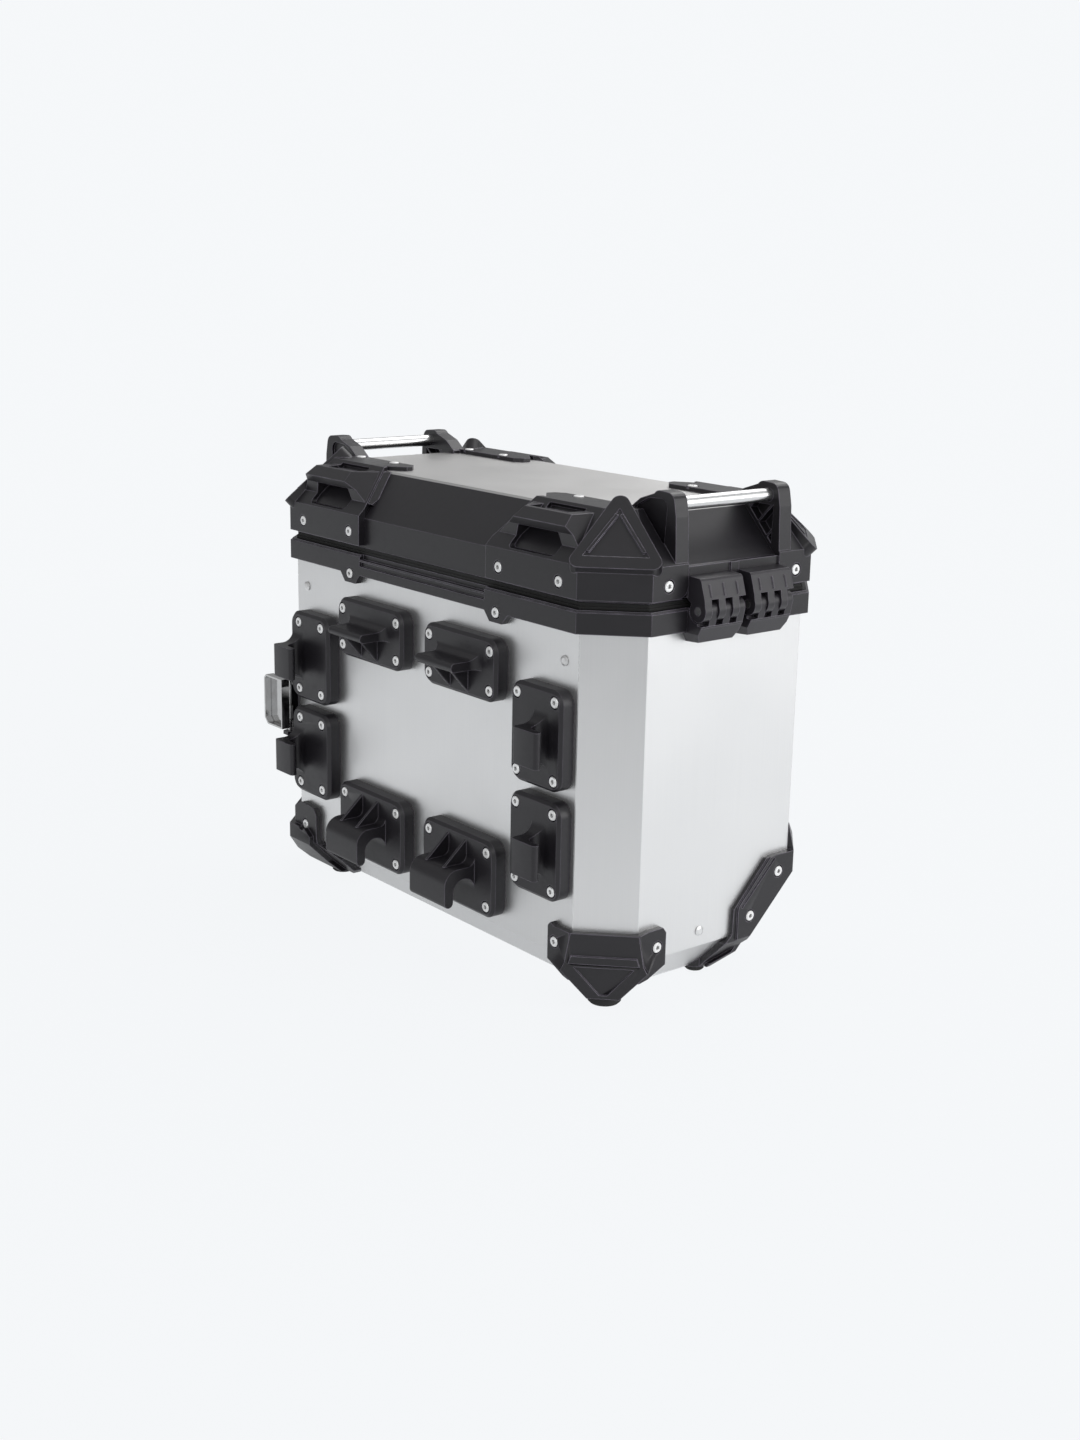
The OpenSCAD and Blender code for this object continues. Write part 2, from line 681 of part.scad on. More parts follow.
module hinge_lower_rack() { color(c_black) place() hinge_lower(hinge_y(0)); }
module hinge_lower_road() { color(c_black) place() hinge_lower(hinge_y(1)); }
module hinge_upper_rack() { color(c_black) place() hinge_upper(hinge_y(0)); }
module hinge_upper_road() { color(c_black) place() hinge_upper(hinge_y(1)); }
module hinge_pin_rack() { color(c_steel) place() hinge_pin(hinge_y(0)); }
module hinge_pin_road() { color(c_steel) place() hinge_pin(hinge_y(1)); }

/* ---------- rack hooks ---------- */

// Frame at a plate's centre on the rack face: +X along the case, +Y up, +Z out of the plate's front
module at_plate(x, z) { translate([x, 0, z]) to_rack() children(); }

// Outline in (height, reach from the plate's front) extruded along the plate's width
module hook_profile(points, w) {
    translate([-w / 2, 0, plate_t]) rotate([90, 0, 90]) linear_extrude(w) polygon(points);
}

module hook_base(size, pitch, shift = 0) {
    difference() {
        soft_plate(size[0], size[1], plate_r, plate_t, 2.5);
        for (p = four(shift, 0, pitch)) translate([p[0], p[1], plate_t - 2.5]) screw_hole(plate_t);
    }
}

module gusset(x, points) {
    translate([x - 1.25, 0, plate_t]) rotate([90, 0, 90]) linear_extrude(2.5) polygon(points);
}

// Upper hook: a shelf that the upper rack tube rests on, braced from below
module hook_upper() {
    root_w = 59;
    hook_base(upper_size, upper_pitch);
    intersection() {
        hook_profile(concat([[-1.5, -1], [-1.5, 0]], arc([2, 20], 3.5, 180, 0, 8), arc([13.5, 8], 8, 180,
            270, 6),
            [[13.5, -1]]) , root_w + 2);
        translate([0, 40, plate_t]) rotate([90, 0, 0]) linear_extrude(80) polygon(concat(
            [[-root_w / 2, -1], [-root_w / 2, 0]], arc([-root_w / 2, 7], 7, -90, 0, 5), [[-shelf_w / 2, 30]],
            [[shelf_w / 2, 30]], arc([root_w / 2, 7], 7, 180, 270, 5), [[root_w / 2, -1]]));
    }
    for (s = [-1, 1]) gusset(s * 11.2, [[-20.5, -1], [-20.5, 0], [-1.2, 17], [-1.2, -1]]);
}

// Lower hook: hangs over the lower rack tube with a deep rounded lip, braced from above
module hook_lower() {
    r = saddle_r;
    difference() {
        union() {
            hook_base(lower_size, lower_pitch);
            hook_profile(concat([[-18, -1], [-18, 2 * r]], arc([-18, 2 * r + 4], 4, 270, 90, 8), [[-4.5,
                hook_reach]],
                arc([-4.5, 16], 12, 90, 0, 8), arc([13.5, 6], 6, 180, 270, 5), [[13.5, -1]]), shelf_w);
            for (s = [-1, 1]) gusset(s * 11.3, [[7, -1], [25.7, -1], [25.7, 0], [7, 21]]);
        }
        // Saddle for the tube, and its mouth
        translate([-lower_size[0] / 2 - 1, -11, plate_t + r]) rotate([0, 90,
            0]) cylinder(h = lower_size[0] + 2, r = r);
        translate([0, 0, plate_t]) block([-lower_size[0], -40, 0], [lower_size[0], -11, 2 * r]);
    }
}

// Side hook: an upright channel that opens towards +X, with a scooped root
module hook_side(pitch, shift, channel) {
    r = channel_r;
    depth = 2 * r + 6;
    z0 = -16.5;
    z1 = 10.5;
    outline = concat([[-17, -1], [-17, depth - 3]], arc([-14, depth - 3], 3, 180, 90, 4),
        arc([7.5, depth - 3], 3, 90, -90, 8), [[7.5, 2 * r], [7.5, -1]]);
    difference() {
        union() {
            hook_base(side_size, pitch, shift);
            translate([channel, 0, plate_t]) {
                translate([0, z1, 0]) rotate([90, 0, 0]) linear_extrude(z1 - z0) polygon(outline);
                intersection() {
                    translate([0, z1 + 12, 0]) rotate([90, 0,
                        0]) linear_extrude(z1 - z0 + 20) polygon(outline);
                    translate([-20, 0, 0]) rotate([90, 0, 90]) linear_extrude(24) polygon(concat([[z0 - 5,
                        -1]],
                        arc([z0 - 5, 5], 5, 270, 360, 4), arc([z1 + 10, 10], 10, 180, 270, 6), [[z1 + 10,
                            -1]]));
                }
            }
        }
        // Channel for the upright bar, and its mouth
        translate([channel, side_size[1] / 2 + 1, plate_t + r]) rotate([90, 0,
            0]) cylinder(h = side_size[1] + 2, r = r);
        translate([channel, 0, plate_t]) block([0, -side_size[1], 0], [40, side_size[1], 2 * r]);
    }
}

module hook_upper_latch() { color(c_black) place() at_plate(-upper_x, upper_zc) hook_upper(); }
module hook_upper_hinge() { color(c_black) place() at_plate(upper_x, upper_zc) hook_upper(); }
module hook_lower_latch() { color(c_black) place() at_plate(-lower_x, lower_zc) hook_lower(); }
module hook_lower_hinge() { color(c_black) place() at_plate(lower_x, lower_zc) hook_lower(); }
module side_hook_latch(z) { at_plate(side_latch_x, z) hook_side(side_latch_pitch, 1, side_latch_channel); }
module side_hook_hinge(z) { at_plate(side_hinge_x, z) hook_side(side_hinge_pitch, 0, side_hinge_channel); }
module hook_side_latch_high() { color(c_black) place() side_hook_latch(side_high_z); }
module hook_side_latch_low() { color(c_black) place() side_hook_latch(side_low_z); }
module hook_side_hinge_high() { color(c_black) place() side_hook_hinge(side_high_z); }
module hook_side_hinge_low() { color(c_black) place() side_hook_hinge(side_low_z); }

/* ---------- corner protectors and feet ---------- */

// Frame at a rack-side corner: +X out of the corner, +Y along its face
module on_corner() { translate([corner_c[0], corner_c[1], 0]) rotate([0, 0, -45]) children(); }

vee_top = side_z + 23;
vee_low = 8;

module protector_rack() {
    ear_lo = side_z - 4;
    difference() {
        union() {
            intersection() {
                union() {
                    prism_x([[20, vee_top], [30, vee_top], [40, vee_top + 2], [54, vee_top + 2], [57,
                        vee_top - 2],
                        [57, ear_lo], [40, ear_lo - 8], [20, ear_lo - 12]], 190, half_len + 10);
                    prism_y([[face_half + 14, vee_top], [face_half - 16, vee_top], [face_half - 19,
                        vee_top + 2],
                        [face_half - 22, vee_top - 1], [face_half - 22, ear_lo], [face_half - 4, ear_lo - 8],
                        [face_half + 14, ear_lo - 12]], -10, 30);
                }
                linear_extrude(vee_top + 4) polygon(octagon(5));
            }
            on_corner() translate([-24, 0, 0]) prism_x([[-32, side_z - 6], [-12, vee_low], [12, vee_low],
                [32, side_z - 6], [29, side_z], [25, vee_top], [-25, vee_top], [-29, side_z]], 0, 24 + skin);
            // Ridge across the corner
            on_corner() prism_x([[-26, side_z], [26, side_z], [24, side_z + 6], [-24, side_z + 6]], 0,
                skin + 1.6);
        }
        box_form(0, body_top);
        block([100, -30, -1], [face_half - 22, 40, 80]);
        // Recessed panel on the vee
        on_corner() prism_x([[-22, side_z - 3], [-3, vee_low + 3], [3, vee_low + 3], [22, side_z - 3]],
            skin - 1.8, skin + 4);
        translate([vee_screw_x, -2.7, vee_screw_z]) to_rack() screw_hole(10);
        translate([half_len + 2.7, vee_screw_y, vee_screw_z]) to_plus_x() screw_hole(10);
    }
}

// Guard at the other end: a plate, and an arm that follows the bevel to the floor
module protector_arm() {
    difference() {
        intersection() {
            prism_y([[141, 3], [131, 9], [133, 21], [152, 31], [154, 38], [154, 58], [158, 63.5], [177, 65],
                [188, 59], [230, 59], [230, 3]], -12, 60);
            prism_x([[-20, 3], [34, 3], [44, 27], [57, 31], [57, 56], [54, 60], [26, 60], [20, 66],
                [-20, 66]], 120, 240);
            union() {
                box_form(skin, body_top);
                intersection() {
                    box_form(10, body_top);
                    prism_y([[150, 3], [159, 12], [158, 38], [167, 43.5], [230, 44], [230, 3]], -12, 60);
                }
            }
        }
        box_form(0, body_top);
        block([120, 31.5, 0], [188.5, 80, 10]);
        translate([vee_screw_x, -2.7, vee_screw_z]) to_rack() screw_hole(10);
        translate([half_len + 2.7, vee_screw_y, vee_screw_z]) to_plus_x() screw_hole(10);
    }
}

// Zone of the road-side protector in (y, z): along the sloped cut, and down the bevel to its foot
road_zone = [[120, -1], [120, side_z - 4], [126.9, side_z + 2], [127.8, side_z + 22], [160.4, side_z + 56.6],
    [169.5, side_z + 58], [260, side_z + 58], [260, -1]];
road_skin = 5;

module protector_road() {
    edge_p = [half_len + road_skin, body_dep - road_cut + grow45 * road_skin, foot_h - road_skin];
    difference() {
        union() {
            intersection() {
                box_form(road_skin, body_top);
                prism_x(road_zone, 182, half_len + 20);
                block([100, 0, foot_h], [300, 300, 200]);
            }
            // Flange that stands out below the sloped cut
            intersection() {
                box_form(road_skin + 3, body_top);
                prism_x([[124, -9], [124, 8], [132, 14], [186, side_z + 33], [200, side_z + 40], [200, -9]],
                    half_len - 22, half_len - 6);
                block([100, 0, foot_h], [300, 300, 200]);
            }
            // Pointed top on the corner face
            translate([corner_c[0], body_dep - corner_c[1], 0]) rotate([0, 0, 45]) intersection() {
                prism_y([[-4, side_z + 50], [road_skin, side_z + 50], [road_skin, side_z + 58], [0.6,
                    side_z + 78],
                    [-4, side_z + 78]], -24, 24);
                prism_x([[-24, side_z + 45], [23, side_z + 45], [23, side_z + 56], [-19, side_z + 78],
                    [-24, side_z + 78]], -10, 10);
            }
            translate([188, 123, foot_h]) cylinder(h = 20, r = 9);
        }
        box_form(0, body_top);
        // Chamfer between the end face and the sloped cut
        translate(edge_p) rotate([45, 0, 0]) prism_y([[-6, -1], [1, -1], [1, 6]], -20, 200);
        for (q = road_screws) translate([half_len + 2.7, q[0], q[1]]) to_plus_x() screw_hole(10);
        // Step along the upper edge, with a groove beside the screws
        prism_x([[120, side_z - 4], [126, side_z + 25], [160.4, side_z + 60], [166, side_z + 60], [131.5,
            side_z + 23.5],
            [131, side_z + 20], [131, side_z - 4]], half_len + 3.4, half_len + 20);
        prism_x([[135, side_z + 22], [168, side_z + 55], [166.6, side_z + 56.4], [133.6, side_z + 23.4]],
            half_len + 4,
            half_len + 20);
    }
}

module protector_rack_hinge() { color(c_black) place() at_corner(false, false) protector_rack(); }
module protector_rack_latch() { color(c_black) place() at_corner(true, false) protector_arm(); }
module protector_road_hinge() { color(c_black) place() at_corner(false, false) protector_road(); }
module protector_road_latch() { color(c_black) place() at_corner(true, false) protector_road(); }

module foot_rack() {
    difference() {
        union() {
            translate([195, 25, 0]) cylinder(h = 1.5, r1 = 11, r2 = 12.5);
            translate([195, 25, 1.5]) cylinder(h = vee_low - 1.5, r = 12.5);
        }
        box_form(0, body_top);
    }
}

module foot_arm() {
    translate([163, 28, 0]) cylinder(h = 1, r1 = 8.5, r2 = 9.5);
    translate([163, 28, 1]) cylinder(h = 2, r = 9.5);
}

module foot_road() {
    translate([188, 123, 0]) cylinder(h = 1, r1 = 6.5, r2 = 7.5);
    translate([188, 123, 1]) cylinder(h = foot_h - 1, r = 7.5);
}

module foot_rack_hinge() { color(c_rubber) place() at_corner(false, false) foot_rack(); }
module foot_rack_latch() { color(c_rubber) place() at_corner(true, false) foot_arm(); }
module foot_road_hinge() { color(c_rubber) place() at_corner(false, false) foot_road(); }
module foot_road_latch() { color(c_rubber) place() at_corner(true, false) foot_road(); }

/* ---------- fasteners ---------- */

nut_h = 4;
nut_y = sheet_t + 2;

module hook_screws() {
    color(c_steel) place() for (p = hook_points)
        translate([p[0], 2.5 - plate_t, p[1]]) to_rack() button_screw(plate_t - 2.5 + nut_y + nut_h + 1);
}

module hook_nuts() {
    color(c_steel) place() for (p = hook_points) translate([p[0], nut_y, p[1]]) rotate([-90, 0,
        0]) difference() {
        cylinder(h = nut_h, r = 4.5, $fn = 6);
        translate([0, 0, -1]) cylinder(h = nut_h + 2, r = screw_d / 2);
    }
}

module cap_side_screws() {
    color(c_steel) place() lid_screws() translate([0, 0, 2.3]) mirror([0, 0, 1]) button_screw(7, 2.6);
}

module cap_top_screws() {
    color(c_steel) place() cap_top_points() translate([0, 0, -1.8]) button_screw(9, 2.6);
}

module collar_screws() {
    color(c_steel) place() for (s = [-1, 1]) {
        translate([s * tab_screw_x, -skin + 2, tab_screw_z]) to_rack() button_screw(9);
        translate([s * tab_screw_x, body_dep + skin - 2, tab_screw_z]) rotate([-90, 0, 0]) button_screw(9);
    }
}

module protector_screws() {
    color(c_steel) place() for (latch_end = [false, true]) at_corner(latch_end, false) {
        translate([vee_screw_x, -2.7, vee_screw_z]) to_rack() button_screw(7);
        translate([half_len + 2.7, vee_screw_y, vee_screw_z]) to_plus_x() button_screw(7);
        for (q = road_screws) translate([half_len + 2.7, q[0], q[1]]) to_plus_x() button_screw(7);
    }
}

module rivet() {
    cylinder(h = 0.8, r = 3.8);
    translate([0, 0, 0.8]) cylinder(h = 0.8, r1 = 3.8, r2 = 2.2);
    translate([0, 0, -sheet_t]) cylinder(h = sheet_t, r = hole_r);
    translate([0, 0, -sheet_t - 1.2]) cylinder(h = 1.2, r = 3.2);
}

module body_rivets() {
    color(c_steel) place() for (s = [-1, 1]) {
        translate([s * rivet_x, 0, rivet_z]) to_rack() rivet();
        mirror([s < 0 ? 1 : 0, 0, 0]) translate([half_len, rivet_end[0], rivet_end[1]]) to_plus_x() rivet();
    }
}

/* ---------- lid latch at the -X end ---------- */

module latch_housing() {
    x0 = -half_len;
    p = latch_p;
    color(c_black) place() difference() {
        union() {
            // Back plate on the sheet and the collar
            block([x0 - 4, mid_y - latch_half, collar_low - 46], [x0, mid_y + latch_half, collar_low]);
            block([x0 - skin - 1, mid_y - latch_half, collar_low - 2], [x0 - skin + 1.5,
                mid_y + latch_half, collar_top - 2]);
            block([x0 - skin - 1, mid_y - latch_half, collar_low - 2], [x0, mid_y + latch_half, collar_low]);
            // Cheeks that carry the pivot
            for (s = [-1, 1]) prism_y([[x0 - 3, collar_low - 46], [x0 - 3, collar_low - 0.5],
                [x0 - skin + 1.4, collar_low - 0.5], [x0 - skin + 1.4, collar_top - 2], [p[0] - 3,
                    p[1] + 5], [p[0] - 5, p[1] - 3], [x0 - 8, collar_low - 42], [x0 - 5, collar_low - 46]],
                s > 0 ? mid_y + bail_half + 3 : mid_y - latch_half,
                    s > 0 ? mid_y + latch_half : mid_y - bail_half - 3);
        }
        bar_along_y(p[0], p[1], pin_r + 0.05, mid_y - latch_half - 1, mid_y + latch_half + 1);
    }
}

// Flap that hangs from the pivot; it lifts to free the bail
module latch_lever() {
    p = latch_p;
    q = bail_p;
    color(c_black) place() difference() {
        union() {
            prism_y([[p[0] + 3, p[1] - 2], [p[0] + 3, p[1] - 10], [-half_len - 9, collar_low - 40],
                [-half_len - 13, collar_low - 44], [lever_face, collar_low - 42], [lever_face, p[1] - 2],
                [p[0] - 2, p[1] + 2.5], [p[0] + 1, p[1] + 2.5]], mid_y - lever_half, mid_y + lever_half);
            bar_along_y(p[0], p[1], 3.5, mid_y - lever_half, mid_y + lever_half);
        }
        bar_along_y(p[0], p[1], pin_r + 0.05, mid_y - lever_half - 1, mid_y + lever_half + 1);
        bar_along_y(q[0], q[1], pin_r + 0.02, mid_y - lever_half - 1, mid_y + lever_half + 1);
        // Bore of the lock cylinder
        bar_along_x(mid_y, collar_low - 22, 8.05, latch_face - 5, latch_face + 7.5);
    }
}

// Steel bail: two arms and a cross bar that lies in front of the keeper
module latch_bail() {
    q = bail_p;
    out = bail_half - 0.5;
    color(c_steel) place() {
        for (s = [-1, 1]) {
            y0 = s > 0 ? mid_y + out - 3 : mid_y - out;
            block([q[0] - 1.6, y0, q[1]], [q[0] + 1.6, y0 + 3, bail_top]);
            bar_along_y(q[0], q[1], 4, y0, y0 + 3);
        }
        block([q[0] - 1.6, mid_y - out, bail_top], [q[0] + 1.6, mid_y + out, bail_top + 4]);
        bar_along_y(q[0], q[1], pin_r, mid_y - out, mid_y + out);
    }
}

module latch_pins() {
    color(c_steel) place()
        bar_along_y(latch_p[0], latch_p[1], pin_r, mid_y - latch_half + 0.5, mid_y + latch_half - 0.5);
}

// Lug on the lid's band that the bail catches
module latch_keeper() {
    x0 = -half_len - skin;
    color(c_black) place() prism_y([[x0, bail_top - 8], [x0 - 4, bail_top - 8], [bail_p[0] + 3.2,
        bail_top - 2],
        [bail_p[0] + 3.2, bail_top + 5], [x0 - 4, bail_top + 7], [x0, bail_top + 7]],
        mid_y - lever_half + 1.5, mid_y + lever_half - 1.5);
}

module lock_cylinder() {
    x0 = latch_face;
    color(c_steel) place() difference() {
        bar_along_x(mid_y, collar_low - 22, 8, x0, x0 + 7);
        block([x0 - 1, mid_y - 3.5, collar_low - 22.6], [x0 + 4, mid_y + 3.5, collar_low - 21.4]);
    }
}

/* ---------- rack lock on the -X rack-side corner ---------- */

module rack_lock_base() {
    z = lock_z;
    color(c_black) place() difference() {
        union() {
            translate([-corner_c[0], corner_c[1], 0]) rotate([0, 0, -135])
                block([0, -6, z[0] - 6], [2, 23, z[1] + 6]);
            // Lock body behind the flap
            translate([0, 0, z[0] + 5]) linear_extrude(z[1] - z[0] - 10) polygon([
                [-198, -8.2], [-198, 13], [-205, 20], [-213, 12], [-213, -4], [-209, -8.2]]);
            for (zz = [z[0] - 6, z[1] + 3]) translate([0, 0, zz]) linear_extrude(3) polygon([
                [-188, 2], [-206, 20], [-208, 18], [lock_pin[0] - 6, lock_pin[1] + 1], [lock_pin[0] - 3,
                    lock_pin[1] - 5],
                [lock_pin[0] + 4, lock_pin[1] - 5], [-187.5, 1.5]]);
        }
        translate([lock_pin[0], lock_pin[1], z[0] - 20]) cylinder(h = 100, r = pin_r + 0.05);
        box_form(0, body_top);
    }
}

// Stainless flap: a shallow tray that turns about an upright pin
module rack_lock_lever() {
    z = [lock_z[0] + 0.5, lock_z[1] - 0.5];
    x = [lock_pin[0] - 24, lock_pin[0] + 5];
    y = [lock_pin[1] - 11, lock_pin[1] - 3.5];
    t = 1.5;
    color(c_steel) place() difference() {
        union() {
            difference() {
                prism_y([[x[0], z[0] + 5], [x[0] + 5, z[0]], [x[1], z[0]], [x[1], z[1]], [x[0] + 3, z[1]],
                    [x[0], z[1] - 3]],
                    y[0], y[1]);
                prism_y([[x[0] + t, z[0] + 5.6], [x[0] + 5.6, z[0] + t], [x[1] - t, z[0] + t], [x[1] - t,
                    z[1] - t],
                    [x[0] + 3.6, z[1] - t], [x[0] + t, z[1] - 3.6]], y[0] - 1, y[1] - t);
            }
            for (zz = [z[0], z[1] - 6]) translate([lock_pin[0], lock_pin[1], zz]) {
                cylinder(h = 6, r = 3.6);
                block([-3, -4, 0], [3, 0, 6]);
            }
        }
        translate([lock_pin[0], lock_pin[1], z[0] - 1]) cylinder(h = 60, r = pin_r + 0.05);
    }
}

module rack_lock_pin() {
    color(c_steel) place() translate([lock_pin[0], lock_pin[1], lock_z[0] - 7]) {
        cylinder(h = lock_z[1] - lock_z[0] + 14, r = pin_r);
        cylinder(h = 1, r = pin_r + 1.2);
        // Spring sleeve between the flap's two eyes
        translate([0, 0, 15]) cylinder(h = 12, r = pin_r + 1.1);
    }
}

wrap_sheet();
rack_panel();
floor_tray();
collar();
collar_seal();
lid_shell();
lid_top_plate();
cap_rack_hinge();
cap_road_hinge();
cap_rack_latch();
cap_road_latch();
corner_panels();
carry_bar_hinge_end();
carry_bar_latch_end();
hinge_lower_rack();
hinge_lower_road();
hinge_upper_rack();
hinge_upper_road();
hinge_pin_rack();
hinge_pin_road();
hook_upper_latch();
hook_upper_hinge();
hook_lower_latch();
hook_lower_hinge();
hook_side_latch_high();
hook_side_latch_low();
hook_side_hinge_high();
hook_side_hinge_low();
protector_rack_hinge();
protector_rack_latch();
protector_road_hinge();
protector_road_latch();
foot_rack_hinge();
foot_rack_latch();
foot_road_hinge();
foot_road_latch();
hook_screws();
hook_nuts();
backing_strips();
cap_side_screws();
cap_top_screws();
collar_screws();
protector_screws();
body_rivets();
latch_housing();
latch_lever();
latch_bail();
latch_pins();
latch_keeper();
lock_cylinder();
rack_lock_base();
rack_lock_lever();
rack_lock_pin();
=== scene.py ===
"""Looks for the aluminium motorcycle side case: finished pieces, materials, floor, lights and camera."""

import json
import math

import bmesh
import bpy
from mathutils import Matrix, Vector


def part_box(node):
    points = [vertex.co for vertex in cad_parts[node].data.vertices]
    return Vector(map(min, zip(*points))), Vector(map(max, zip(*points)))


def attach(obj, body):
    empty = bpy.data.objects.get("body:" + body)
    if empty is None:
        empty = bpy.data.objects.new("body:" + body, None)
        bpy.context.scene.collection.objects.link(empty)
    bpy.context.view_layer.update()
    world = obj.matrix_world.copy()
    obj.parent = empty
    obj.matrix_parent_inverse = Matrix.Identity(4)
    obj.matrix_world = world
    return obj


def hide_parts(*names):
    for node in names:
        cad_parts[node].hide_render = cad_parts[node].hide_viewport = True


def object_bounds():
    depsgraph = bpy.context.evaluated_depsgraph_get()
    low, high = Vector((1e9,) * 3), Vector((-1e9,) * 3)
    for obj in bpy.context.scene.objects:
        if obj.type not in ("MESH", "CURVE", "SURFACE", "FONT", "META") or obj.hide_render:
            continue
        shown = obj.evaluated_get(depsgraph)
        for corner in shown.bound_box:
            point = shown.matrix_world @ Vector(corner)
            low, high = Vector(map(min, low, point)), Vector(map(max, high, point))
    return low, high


MM = 0.001

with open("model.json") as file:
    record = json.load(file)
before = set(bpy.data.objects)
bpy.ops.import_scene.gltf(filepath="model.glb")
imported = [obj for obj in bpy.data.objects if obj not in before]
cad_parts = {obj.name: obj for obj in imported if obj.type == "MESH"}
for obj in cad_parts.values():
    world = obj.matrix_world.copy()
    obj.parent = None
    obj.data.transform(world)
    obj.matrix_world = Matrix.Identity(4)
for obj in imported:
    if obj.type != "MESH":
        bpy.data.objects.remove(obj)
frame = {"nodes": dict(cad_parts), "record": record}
cad_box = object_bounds()
record = frame["record"]
body_of = {n: b for b, members in record["behaviour"]["bodies"].items() for n in members}
slot_of = {s["node"]: s["material_slot"] for s in record["subparts"]}

# ---------------------------------------------------------------- material helpers


class Shader:
    """A procedural material: a Principled shader and the nodes that feed it."""

    def __init__(self, name, roughness, metallic=0.0):
        self.material = bpy.data.materials.new(name)
        self.material.use_nodes = True
        self.nodes = self.material.node_tree.nodes
        self.links = self.material.node_tree.links
        self.surface = self.nodes["Principled BSDF"]
        self.surface.inputs["Metallic"].default_value = metallic
        self.surface.inputs["Roughness"].default_value = roughness
        self.place = self.nodes.new("ShaderNodeTexCoord").outputs["Object"]

    def node(self, kind, inputs=(), **settings):
        """A new node of that kind; each of its inputs is a socket to link or a plain value."""
        made = self.nodes.new("ShaderNode" + kind)
        for key, value in settings.items():
            setattr(made, key, value)
        for key, value in dict(inputs).items():
            if isinstance(value, bpy.types.NodeSocket):
                self.links.new(value, made.inputs[key])
            else:
                made.inputs[key].default_value = value
        return made

    def noise(self, scale, detail=3.0, stretch=None):
        """Noise between 0 and 1; scale is cells per metre, stretch a factor for each axis."""
        vector = self.place
        if stretch:
            vector = self.node("Mapping", {"Vector": vector, "Scale": stretch}).outputs[0]
        return self.node("TexNoise", {"Vector": vector, "Scale": scale, "Detail": detail}).outputs[0]

    def spread(self, value, low, high, out_low, out_high):
        """value from low to high, mapped to out_low to out_high and held there."""
        return self.node("MapRange", {
            "Value": value, "From Min": low, "From Max": high, "To Min": out_low, "To Max": out_high,
        }).outputs[0]

    def math(self, operation, *values):
        return self.node("Math", enumerate(values), operation=operation).outputs[0]

    def mix(self, factor, a, b):
        """A colour between a and b."""
        return self.node("Mix", {0: factor, 6: a, 7: b}, data_type="RGBA").outputs[2]

    def edges(self, radius):
        """Rounded shading normal, and a mask that is 1 along sharp edges."""
        rounded = self.node("Bevel", {"Radius": radius}, samples=6).outputs[0]
        flat = self.node("NewGeometry").outputs["Normal"]
        agree = self.node("VectorMath", {0: rounded, 1: flat}, operation="DOT_PRODUCT").outputs["Value"]
        return rounded, self.spread(agree, 0.86, 0.995, 1.0, 0.0)

    def hollow_shade_mask(self, reach):
        """1 in tight corners and sockets, 0 on open surfaces; the finishes paint shade into the colour
        where it is 1.
        """
        open_sky = self.node("AmbientOcclusion", {"Distance": reach}, samples=8).outputs["AO"]
        return self.spread(open_sky, 0.25, 0.8, 1.0, 0.0)

    def finish(self, colour=None, roughness=None, height=None, depth=0.0, normal=None):
        """Feed the surface and return the material; height is a relief, depth metres deep."""
        if colour is not None:
            self.links.new(colour, self.surface.inputs["Base Color"])
        if roughness is not None:
            self.links.new(roughness, self.surface.inputs["Roughness"])
        if height is not None:
            bump = self.node("Bump", {"Height": height, "Distance": depth, "Strength": 1.0})
            if normal is not None:
                self.links.new(normal, bump.inputs["Normal"])
            normal = bump.outputs[0]
        if normal is not None:
            self.links.new(normal, self.surface.inputs["Normal"])
        return self.material


def grey(level, warmth=0.0):
    """A grey of that level, which leans to yellow by warmth."""
    return (level * (1 + warmth), level, level * (1 - warmth), 1.0)


def ink(level):
    """The black of the mouldings, which leans slightly to violet."""
    return (level * 1.04, level * 0.93, level * 1.16, 1.0)


def brushed(name, level, rough, grain, warmth=0.0, groove=2e-6, painted_highlight_strength=0.15, radius=0.5 * MM):
    """Brushed aluminium: long fine scratches, faint smudges, edges a little glossier with a painted
    highlight along them.

    grain is the scratches' scale for each axis, smallest along them; groove is their depth in metres.
    """
    s = Shader(name, rough, metallic=1.0)
    streak = s.noise(1.0, 3.0, grain)
    fine = s.noise(1.0, 2.0, tuple(3.1 * g for g in grain))
    smudge = s.noise(9.0, 4.0)
    cloud = s.noise(2.2, 2.0)
    normal, edge = s.edges(radius)
    streaks = s.spread(streak, 0.35, 0.65, 0.0, 1.0)
    tone = s.mix(streaks, grey(level * 0.99, warmth), grey(level * 1.01, warmth))
    tone = s.mix(s.spread(cloud, 0.35, 0.7, 0.0, 0.35), tone, grey(level * 0.94, warmth * 1.6))
    # Painted highlight: the colour is lightened along sharp edges
    tone = s.mix(s.math("MULTIPLY", edge, painted_highlight_strength * 4), tone, grey(min(1.0, level * 1.25)))
    smudges = s.spread(smudge, 0.4, 0.7, rough - 0.03, rough + 0.06)
    r = s.math("ADD", smudges, s.spread(fine, 0.3, 0.7, -0.015, 0.02))
    r = s.math("SUBTRACT", r, s.math("MULTIPLY", edge, 0.1))
    return s.finish(tone, r, s.math("ADD", streak, fine), groove, normal)


